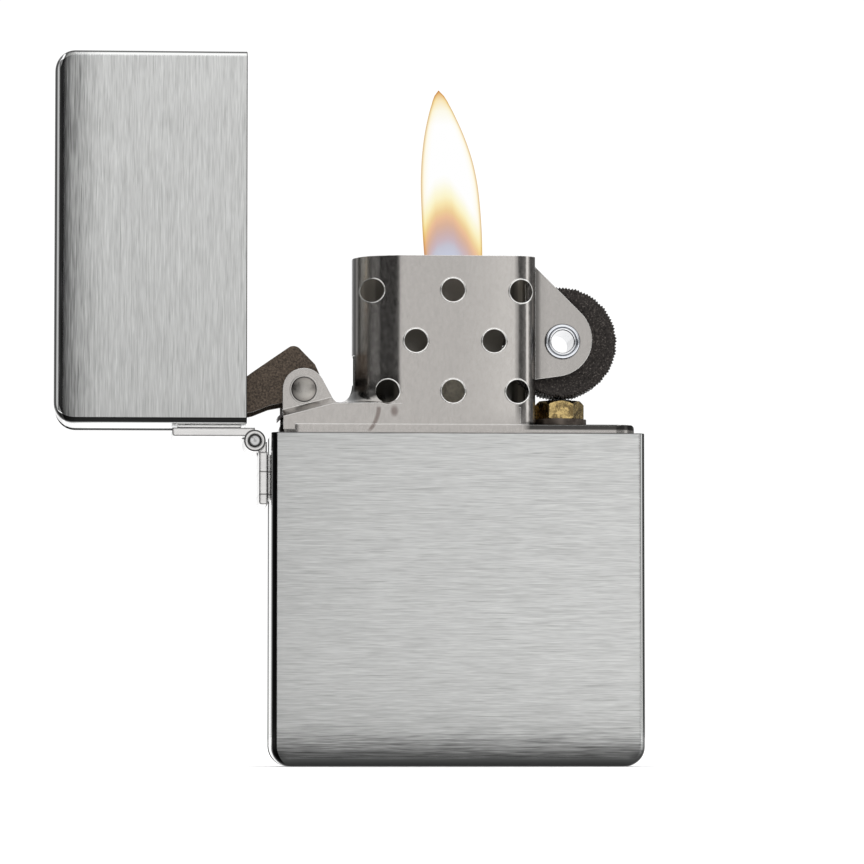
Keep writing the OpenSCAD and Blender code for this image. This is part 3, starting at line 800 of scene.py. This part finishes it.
cx, cz, reach = middle("wheel_rivet")
rolled = smooth_path([(1.16, 0.5), (1.16, 0.24), (1.22, 0.06), (1.32, 0.01), (1.42, 0.06), (1.47, 0.11),
                      (1.53, 0.05), (1.64, 0.02), (1.76, 0.1), (1.83, 0.26), (1.83, 0.48)])
profile = both_ends([(r, reach - depth) for r, depth in rolled] + [(1.45, reach - 0.5)])
wheel_rivet = turned("wheel_rivet_turned", profile, (cx, cz), 96, close=True)
dress(wheel_rivet, MATERIALS["eyelet"])
weighted(wheel_rivet, 50)
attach(wheel_rivet, "case")
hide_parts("wheel_rivet")


# -------- chimney details
def chimney_depth(x):
    """How far the chimney's front stands from the middle plane at x, in mm."""
    left, right = CHIMNEY
    for side, radius, way in ((left, LEFT_RADIUS, -1), (right, RIGHT_RADIUS, 1)):
        over = (x - side) * way + radius
        if over > 0:
            return CHIMNEY_HALF - radius + math.sqrt(max(0.0, radius ** 2 - min(over, radius) ** 2))
    return CHIMNEY_HALF


# section of a hole's turned-over edge, as (distance beyond the hole's radius, distance proud) in mm
RIM_SECTION = [(-0.03, -0.35), (-0.02, 0.0), (0.0, 0.03), (0.04, 0.035), (0.09, 0.025), (0.12, -0.02)]


def hole_rim(name, x, z, side):
    """Turned-over bright edge round an air hole, following the sheet."""
    rings = []
    for beyond, proud in RIM_SECTION:
        r = HOLE_RADIUS + beyond
        spots = [(x + r * math.cos(a), z + r * math.sin(a)) for a in around(48)]
        rings.append([(px * MM, side * (chimney_depth(px) + proud) * MM, pz * MM) for px, pz in spots])
    verts, faces = loft(rings, close=True)
    obj = mesh_object(name, verts, faces)
    dress(obj, MATERIALS["rim"])
    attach(obj, "case")


for k, (x, z) in enumerate(FRONT_HOLES):
    hole_rim(f"front_hole_rim_{k + 1}", x, z, -1)
for k, (x, z) in enumerate(BACK_HOLES):
    hole_rim(f"back_hole_rim_{k + 1}", x, z, 1)


def drill(obj, x, z):
    """Cut an air hole through a piece from front to back."""
    cutter = turned("cutter", [(HOLE_RADIUS, -8), (HOLE_RADIUS, 8)], (x * MM, z * MM), 48)
    cut = obj.modifiers.new("hole", "BOOLEAN")
    cut.operation = "DIFFERENCE"
    cut.object = cutter
    graph = bpy.context.evaluated_depsgraph_get()
    made = bpy.data.meshes.new_from_object(obj.evaluated_get(graph))
    obj.modifiers.clear()
    obj.data = made
    bpy.data.objects.remove(cutter)


def flare_row(radius, out):
    """Points along one side of the flared sheet: the round corner at out 0, flat sheet at out 1."""
    middle_x, middle_y = CHIMNEY[0] + LEFT_RADIUS, LEFT_RADIUS - CHIMNEY_HALF
    flat_reach, turn, steps = LEFT_RADIUS + FLARE_OUT, 80, 24
    row = []
    for i in range(steps + 1):
        a = math.radians(turn * i / steps)
        x, y = middle_x - radius * math.sin(a), middle_y - radius * math.cos(a)
        flat_x, flat_y = middle_x - flat_reach * i / steps, middle_y - radius
        row.append((x + (flat_x - x) * out, y + (flat_y - y) * out))
    return row


def flare(name, mirror, holes):
    """Sheet that sweeps from the chimney's round corner out into the flat front at its foot."""
    low, high, steps = 37.03, 39.22, 18
    rings = []
    for k in range(steps + 1):
        t = k / steps
        out = 1 - math.sqrt(1 - (1 - t) ** 2)
        section = flare_row(LEFT_RADIUS, out) + flare_row(LEFT_RADIUS - SHEET, out)[::-1]
        z = low + (high - low) * t
        rings.append([(x * MM, mirror * y * MM, z * MM) for x, y in section])
    verts, faces = loft(rings, cap_start=True, cap_end=True)
    obj = mesh_object(name, verts, faces)
    for x, z in holes:
        drill(obj, x, z)
    dress(obj, MATERIALS["foot"])
    weighted(obj, 40)
    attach(obj, "case")


flare("flare_front", 1, [FLARED_HOLE])
flare("flare_back", -1, [])


# -------- flint wheel
WHEEL_HALF = 2.7
# side of the wheel from its hub up to its rim, as (radius, y) in mm
WHEEL_SIDE = [(2.3, -2.45), (2.36, -2.42), (3.6, -2.43), (4.2, -2.5), (4.7, -2.6), (5.1, -2.68),
              (5.3, -WHEEL_HALF)]


def triangle_wave(v):
    return 1 - abs(2 * (v % 1) - 1)


def cut_depth(i, per, y):
    """How deep the teeth are cut at point i of the rim, at y across it."""
    straight = 1.3
    slant, pitch = 2.2, 0.42
    tooth, cross, wear = 0.17, 0.12, 0.05
    # the teeth run slanted in the middle of the rim and straight at its sides
    along = triangle_wave(i / per + slant * (straight - min(straight, abs(y))))
    cut = tooth * (1 - along)
    if abs(y) <= straight:
        cut += cross * (1 - triangle_wave(y / pitch))
    return cut + wear * math.sin(i * 0.37) * math.sin(i * 0.083 + y)


def cut_wheel(name, teeth=108, per=4):
    """Steel wheel whose rim is cut both ways into small pyramids."""
    cx, cz, reach = middle("flint_wheel")
    lo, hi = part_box("flint_wheel")
    outer = (hi[0] - lo[0]) / 2 / MM
    n = teeth * per
    # places across the rim, each with how far the rounded edge drops there
    edge = [(-WHEEL_HALF, 0.16), (-2.6, 0.02)]
    rows = edge + [(-2.5 + 0.2 * k, 0.0) for k in range(26)] + [(-y, drop) for y, drop in edge[::-1]]
    hub = [(1.5, -reach), (1.55, -reach), (2.24, -reach), (2.3, -reach + 0.06)]
    side = [[point] * n for point in hub + WHEEL_SIDE]
    rim = [[(min(outer, outer - 0.03 - drop - cut_depth(i, per, y)), y) for i in range(n)]
           for y, drop in rows]
    far_side = [[(r, -y) for r, y in ring] for ring in side[::-1]]
    rings = [turned_ring(ring, (cx, cz)) for ring in side + rim + far_side]
    verts, faces = loft(rings, close=True)
    return mesh_object(name, verts, faces)


wheel = cut_wheel("wheel_cut")
dress(wheel, MATERIALS["wheel"])
weighted(wheel, 30)
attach(wheel, "wheel")
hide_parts("flint_wheel")


# -------- flint spring
def coil(name, node_name, wire, turns):
    """Coil of round wire in the place of the CAD spring."""
    lo, hi = (Vector(p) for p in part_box(node_name))
    cx, cy = (lo.x + hi.x) / 2, (lo.y + hi.y) / 2
    mean = (hi.x - lo.x) / 2 - wire
    length = hi.z - lo.z
    steps = turns * 32
    rings = []
    for k in range(steps + 1):
        a = 2 * math.pi * turns * k / steps
        z = lo.z + wire + (length - 2 * wire) * k / steps
        ring = []
        for b in around(10):
            r = mean + wire * math.cos(b)
            ring.append((cx + r * math.cos(a), cy + r * math.sin(a), z + wire * math.sin(b)))
        rings.append(ring)
    verts, faces = loft(rings, cap_start=True, cap_end=True)
    obj = mesh_object(name, verts, faces)
    dress(obj, MATERIALS["wire"])
    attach(obj, "case")
    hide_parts(node_name)
    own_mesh(obj)


coil("flint_spring_coil", "flint_spring", wire=0.00017, turns=10)

# -------- wick and wadding
WICK_BEND = 3.4


def wick_path():
    """Points down the middle of the wick, in mm, every quarter millimetre or so."""
    def line(a, b, n):
        return [(a[0] + (b[0] - a[0]) * k / n, a[1] + (b[1] - a[1]) * k / n) for k in range(n)]

    def turn(cx, cz, a0, a1, n):
        angles = [math.radians(a0 + (a1 - a0) * k / n) for k in range(n)]
        return [(cx + WICK_BEND * math.cos(a), cz + WICK_BEND * math.sin(a)) for a in angles]

    path = line((0, 44.8), (0, 27), 72) + turn(-3.4, 27, 0, -90, 22) + line((-3.4, 23.6), (-8, 23.6), 18)
    path += turn(-8, 20.2, 90, 270, 44) + line((-8, 16.8), (1, 16.8), 36)
    return path + turn(1, 13.4, 90, -90, 44) + line((1, 10), (-10, 10), 44) + [(-10, 10)]


def braid(name, path, radius, n=40, strands=8, pitch=5.2, groove=0.16):
    """Cord plaited from strands that cross over and under one another, with a rounded start."""
    rings = []
    run = 0.0
    for k, (x, z) in enumerate(path):
        before, after = path[max(0, k - 1)], path[min(len(path) - 1, k + 1)]
        along = Vector((after[0] - before[0], 0, after[1] - before[1])).normalized()
        across = Vector((along.z, 0, -along.x))
        start = min(1.0, 0.55 + run * 0.5) if k < 3 else 1.0
        twist = math.pi * run / pitch * 4
        ring = []
        for a in around(n):
            left = abs(math.sin(0.5 * strands * a + twist))
            right = abs(math.sin(0.5 * strands * a - twist))
            r = radius * start - groove * (1 - max(left, right) ** 0.7)
            p = Vector((x, 0, z)) + across * r * math.cos(a) + Vector((0, 1, 0)) * r * math.sin(a)
            ring.append(tuple(p * MM))
        rings.append(ring)
        run += math.dist((x, z), after)
    verts, faces = loft(rings, cap_start=True, cap_end=True)
    return mesh_object(name, verts, faces)


wick = braid("wick_braid", wick_path(), radius=1.29)
dress(wick, MATERIALS["wick"])
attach(wick, "case")
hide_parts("wick")


def fluffy(name, node_name, voxel, depth, size, material):
    """Soft copy of a CAD solid: remeshed, pulled in a little and made uneven."""
    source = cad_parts[node_name]
    mesh = source.data.copy()
    mesh.transform(source.matrix_world)
    start = link_object(name + "_start", mesh)
    remesh = start.modifiers.new("remesh", "REMESH")
    remesh.mode = "VOXEL"
    remesh.voxel_size = voxel
    soften = start.modifiers.new("soften", "SMOOTH")
    soften.iterations = 6
    texture = bpy.data.textures.new(name, "CLOUDS")
    texture.noise_scale = size
    uneven = start.modifiers.new("uneven", "DISPLACE")
    uneven.texture = texture
    uneven.texture_coords = "LOCAL"
    uneven.strength = depth
    uneven.mid_level = 1.0
    graph = bpy.context.evaluated_depsgraph_get()
    made = bpy.data.meshes.new_from_object(start.evaluated_get(graph))
    bpy.data.objects.remove(start)
    for p in made.polygons:
        p.use_smooth = True
    soft = link_object(name, made)
    dress(soft, MATERIALS[material])
    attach(soft, "case")
    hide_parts(node_name)


fluffy("cotton_fill", "cotton_wadding", 0.00032, 0.00025, 0.002, "cotton")
fluffy("felt_soft", "felt_pad", 0.0003, 0.00015, 0.0012, "felt")

# -------- flame
# outline as (height, left, right) in mm, from the wick to the tip
FLAME_OUTLINE = [(45, -1.9, 1.7), (48, -2.6, 2.4), (52.2, -3.1, 2.9), (55, -3.3, 2.85), (57.5, -3.42, 2.68),
                 (60, -3.5, 2.42), (62.5, -3.42, 1.9), (65, -3.15, 1.05), (67, -2.75, 0.15),
                 (68.5, -2.35, -0.6), (69.3, -2.05, -1.12), (69.8, -1.65, -1.65)]
FLAME_Z = 45.0
FLAME_TOP = 69.8
# depth of the flame as a share of its width
FLAME_DEPTH = 0.62


def flame_edges(z):
    """Left and right edge of the flame at height z, in mm, smoothed below the tip."""
    heights, left, right = zip(*FLAME_OUTLINE)
    window = [-0.9, -0.45, 0, 0.45, 0.9] if z < 68.5 else [0]
    return [sum(np.interp(z + d, heights, side) for d in window) / len(window) for side in (left, right)]


def lens(angle):
    """Depth of a section with sharp left and right edges."""
    return math.sin(angle) * abs(math.sin(angle))


def flame_mesh(name, n=56, count=90):
    """One closed form. Each point keeps how far across the flame it lies, -1 to 1, and its
    distance in mm from the flame's edge."""
    rings, across, inset = [], [], []
    for k in range(count):
        z = FLAME_Z + (FLAME_TOP - FLAME_Z) * k / (count - 1)
        left, right = flame_edges(z)
        middle_x, half = (left + right) / 2, max(0.02, (right - left) / 2)
        ring = []
        for a in around(n):
            across.append(math.cos(a))
            inset.append(half * (1 - abs(math.cos(a))))
            x, y = middle_x + half * math.cos(a), FLAME_DEPTH * half * lens(a)
            ring.append((x * MM, y * MM, z * MM))
        rings.append(ring)
    mesh = bpy.data.meshes.new(name)
    verts, faces = loft(rings, cap_start=True, cap_end=True)
    mesh.from_pydata(verts, [], faces)
    for key, values in (("across", across), ("inset", inset)):
        mesh.attributes.new(key, "FLOAT", "POINT").data.foreach_set("value", values)
    for p in mesh.polygons:
        p.use_smooth = True
    return link_object(name, mesh)


# how much higher the foot's arches stand at the sides, from the left to the right edge
ARCH_RISE = [(0.0, 0.38), (0.08, 0.21), (0.15, 0.12), (0.23, 0.04), (0.4, 0.0), (0.5, 0.02), (0.6, 0.12),
             (0.72, 0.23), (0.82, 0.36), (0.9, 0.45), (1.0, 0.6)]
# colours of the arches, from blue at the foot up to white
FLAME_FOOT = [(0.0, (0.55, 0.58, 0.7)), (0.1, (0.54, 0.54, 0.63)), (0.18, (0.58, 0.46, 0.5)),
              (0.26, (0.62, 0.44, 0.41)), (0.35, (0.7, 0.45, 0.33)), (0.43, (0.82, 0.51, 0.32)),
              (0.51, (0.86, 0.62, 0.32)), (0.6, (0.94, 0.79, 0.44)), (0.68, (0.97, 0.91, 0.61)),
              (0.76, (0.98, 0.95, 0.74)), (0.85, (0.99, 0.98, 0.91)), (0.93, (1.0, 1.0, 1.0))]
# colours of the thin rim, by distance from the edge in mm, and of the tip, by height
FLAME_RIM = [(0.0, (0.72, 0.5, 0.28)), (0.08, (0.76, 0.57, 0.32)), (0.17, (0.95, 0.82, 0.56)),
             (0.32, (1.0, 0.96, 0.83)), (0.6, (1.0, 0.99, 0.95)), (0.9, (1.0, 1.0, 1.0))]
FLAME_TIP = [(0.0, (1.0, 1.0, 1.0)), (0.85, (1.0, 1.0, 1.0)), (0.91, (0.98, 0.96, 0.84)),
             (0.955, (0.95, 0.82, 0.55)), (0.985, (0.8, 0.52, 0.26)), (1.0, (0.7, 0.42, 0.22))]
# how solid the flame is, by height
FLAME_DENSE = [(0.0, 0.0), (0.255, 0.0), (0.29, 0.8), (0.4, 0.95), (0.5, 1.0), (1.0, 1.0)]


def flame_material(name):
    """White heart, thin orange rim, and nested arches from blue to yellow at the foot."""
    mat, tree, out = bare_material(name)
    up = axes(tree, "Object")["Z"]
    height = remap(tree, up, FLAME_Z * MM, FLAME_TOP * MM)
    soft = stretched_noise(tree, (350, 350, 200), 2.0)
    side = node(tree, "ShaderNodeAttribute", attribute_name="across").outputs["Fac"]
    inset = node(tree, "ShaderNodeAttribute", attribute_name="inset").outputs["Fac"]
    rise = ramp(tree, remap(tree, side, -1, 1), ARCH_RISE)
    arch = plus(tree, remap(tree, up, 0.0527, 0.0615), rise)
    arch = plus(tree, arch, times(tree, plus(tree, soft, -0.5), 0.04))
    colour = ramp(tree, arch, FLAME_FOOT)
    for other in (ramp(tree, inset, FLAME_RIM), ramp(tree, height, FLAME_TIP)):
        n = node(tree, "ShaderNodeVectorMath", operation="MULTIPLY")
        tree.links.new(colour, n.inputs[0])
        tree.links.new(other, n.inputs[1])
        colour = n.outputs[0]
    glow = node(tree, "ShaderNodeEmission")
    clear = node(tree, "ShaderNodeBsdfTransparent")
    mix = node(tree, "ShaderNodeMixShader")
    tree.links.new(colour, glow.inputs["Color"])
    tree.links.new(ramp(tree, height, FLAME_DENSE), mix.inputs["Fac"])
    tree.links.new(clear.outputs["BSDF"], mix.inputs[1])
    tree.links.new(glow.outputs["Emission"], mix.inputs[2])
    tree.links.new(mix.outputs["Shader"], out.inputs["Surface"])
    return mat


flame = flame_mesh("flame")
dress(flame, flame_material("flame"))
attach(flame, "case")
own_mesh(flame)


# -------- stage
def floor_material(name):
    """Pale paper, a little lit from below so that it meets the background."""
    mat, tree, bsdf = new_material(name)
    pale = stretched_noise(tree, (3, 3, 3), 2.0)
    tone = mix_colour(tree, pale, (0.93, 0.93, 0.93), (0.96, 0.96, 0.96))
    tree.links.new(tone, bsdf.inputs["Base Color"])
    bsdf.inputs["Roughness"].default_value = 0.9
    bsdf.inputs["Emission Color"].default_value = (1, 1, 1, 1)
    bsdf.inputs["Emission Strength"].default_value = 0.2
    return mat


reach = 6
corners = [(-reach, -reach, 0), (reach, -reach, 0), (reach, reach, 0), (-reach, reach, 0)]
floor = mesh_object("floor", corners, [(0, 1, 2, 3)], False)
dress(floor, floor_material("floor"))


def flag(name, start, stop, grey, radius=0.9, low=0.002, high=0.42, steps=24):
    """Dark studio card, seen only in the metal: an upright arc between two bearings.

    Bearings are in degrees from the front, positive to the right.
    """
    bearings = [math.radians(start + (stop - start) * k / steps) for k in range(steps + 1)]
    verts = [(radius * math.sin(b), -radius * math.cos(b), z) for z in (low, high) for b in bearings]
    n = steps + 1
    obj = mesh_object(name, verts, [(k, k + 1, n + k + 1, n + k) for k in range(steps)])
    mat, tree, out = bare_material(name)
    glow = node(tree, "ShaderNodeEmission")
    glow.inputs["Color"].default_value = (grey, grey, grey, 1)
    tree.links.new(glow.outputs["Emission"], out.inputs["Surface"])
    dress(obj, mat)
    obj.visible_camera = False
    obj.visible_diffuse = False
    obj.visible_shadow = False
    obj.visible_transmission = False


for start, stop, grey in ((-54, -8, 0.08), (-70, -54, 0.2), (-84, -70, 0.12), (-166, -84, 0.5),
                          (10, 58, 0.3), (76, 166, 0.2)):
    flag(f"flag_{start % 360}", start, stop, grey)


def studio(name):
    """White surroundings, a little brighter overhead."""
    world = bpy.data.worlds.new(name)
    world.use_nodes = True
    tree = world.node_tree
    background = tree.nodes["Background"]
    brightness = remap(tree, axes(tree, "Generated")["Z"], 0.0, 1.0, 1.0, 1.12)
    tree.links.new(scaled(tree, (1.0, 1.0, 1.0), brightness), background.inputs["Color"])
    background.inputs["Strength"].default_value = 1.04
    return world


bpy.context.scene.world = studio("studio")

# -------- camera
# half a metre away, a little left of the case and a little low
stand = Vector((-0.034, -0.50635, 0.003))
aim = Vector((-0.00272, -0.00635, 0.0340))
cam_data = bpy.data.cameras.new("camera")
cam_data.sensor_width = 36
cam_data.lens = 205.5
cam_data.clip_start = 0.01
cam_data.clip_end = 50
cam = bpy.data.objects.new("camera", cam_data)
cam.location = stand
cam.rotation_mode = "QUATERNION"
cam.rotation_quaternion = (aim - stand).to_track_quat("-Z", "Y")
bpy.context.scene.collection.objects.link(cam)
bpy.context.scene.camera = cam
bpy.context.scene.view_settings.view_transform = "Standard"
